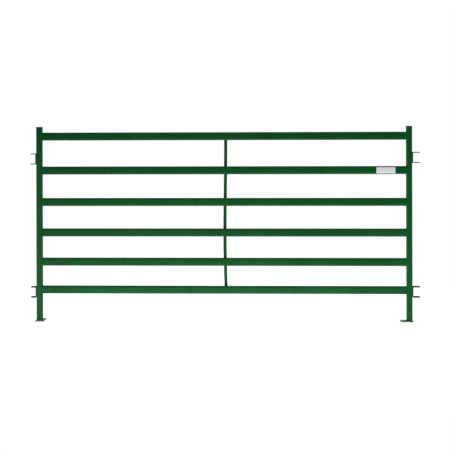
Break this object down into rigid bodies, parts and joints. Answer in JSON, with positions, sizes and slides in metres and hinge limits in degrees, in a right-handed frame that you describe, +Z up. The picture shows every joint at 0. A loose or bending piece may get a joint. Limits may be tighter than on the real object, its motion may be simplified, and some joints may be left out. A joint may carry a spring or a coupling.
{
  "type": "livestock panel gate",
  "caption": "Welded steel livestock panel of flat-oval rails between square posts, with a flat centre stay, bent drop-pin lugs at both ends, post caps and foot plates.",
  "frame": {"origin": "on the ground, midway between the tips of the end lugs and at the middle of the posts in depth", "axes": "+X along the panel to the end with the long lugs, +Y to the back, where the stay is, +Z up"},
  "size_m": [3.162, 0.1, 1.5778],
  "materials": {
    "green_powder_coat": "semi-gloss green powder coat",
    "weld_paint": "semi-gloss green powder coat over a weld bead",
    "dusty_foot_paint": "green powder coat under yard dust",
    "black_plastic": "matte moulded black plastic",
    "reflective_film": "white retroreflective film"
  },
  "bodies": {
    "root": {"left_post": "green_powder_coat", "left_post_cap": "black_plastic", "left_foot_plate": "dusty_foot_paint", "left_rail_welds": "weld_paint", "upper_left_lug": "green_powder_coat", "lower_left_lug": "green_powder_coat", "right_post": "green_powder_coat", "right_post_cap": "black_plastic", "right_foot_plate": "dusty_foot_paint", "right_rail_welds": "weld_paint", "upper_right_lug": "green_powder_coat", "lower_right_lug": "green_powder_coat", "bottom_rail": "green_powder_coat", "rail_5": "green_powder_coat", "rail_4": "green_powder_coat", "rail_3": "green_powder_coat", "rail_2": "green_powder_coat", "top_rail": "green_powder_coat", "centre_stay": "green_powder_coat", "reflective_strip": "reflective_film", "lug_welds": "weld_paint", "stay_welds": "weld_paint", "foot_welds": "weld_paint"}
  },
  "joints": []
}
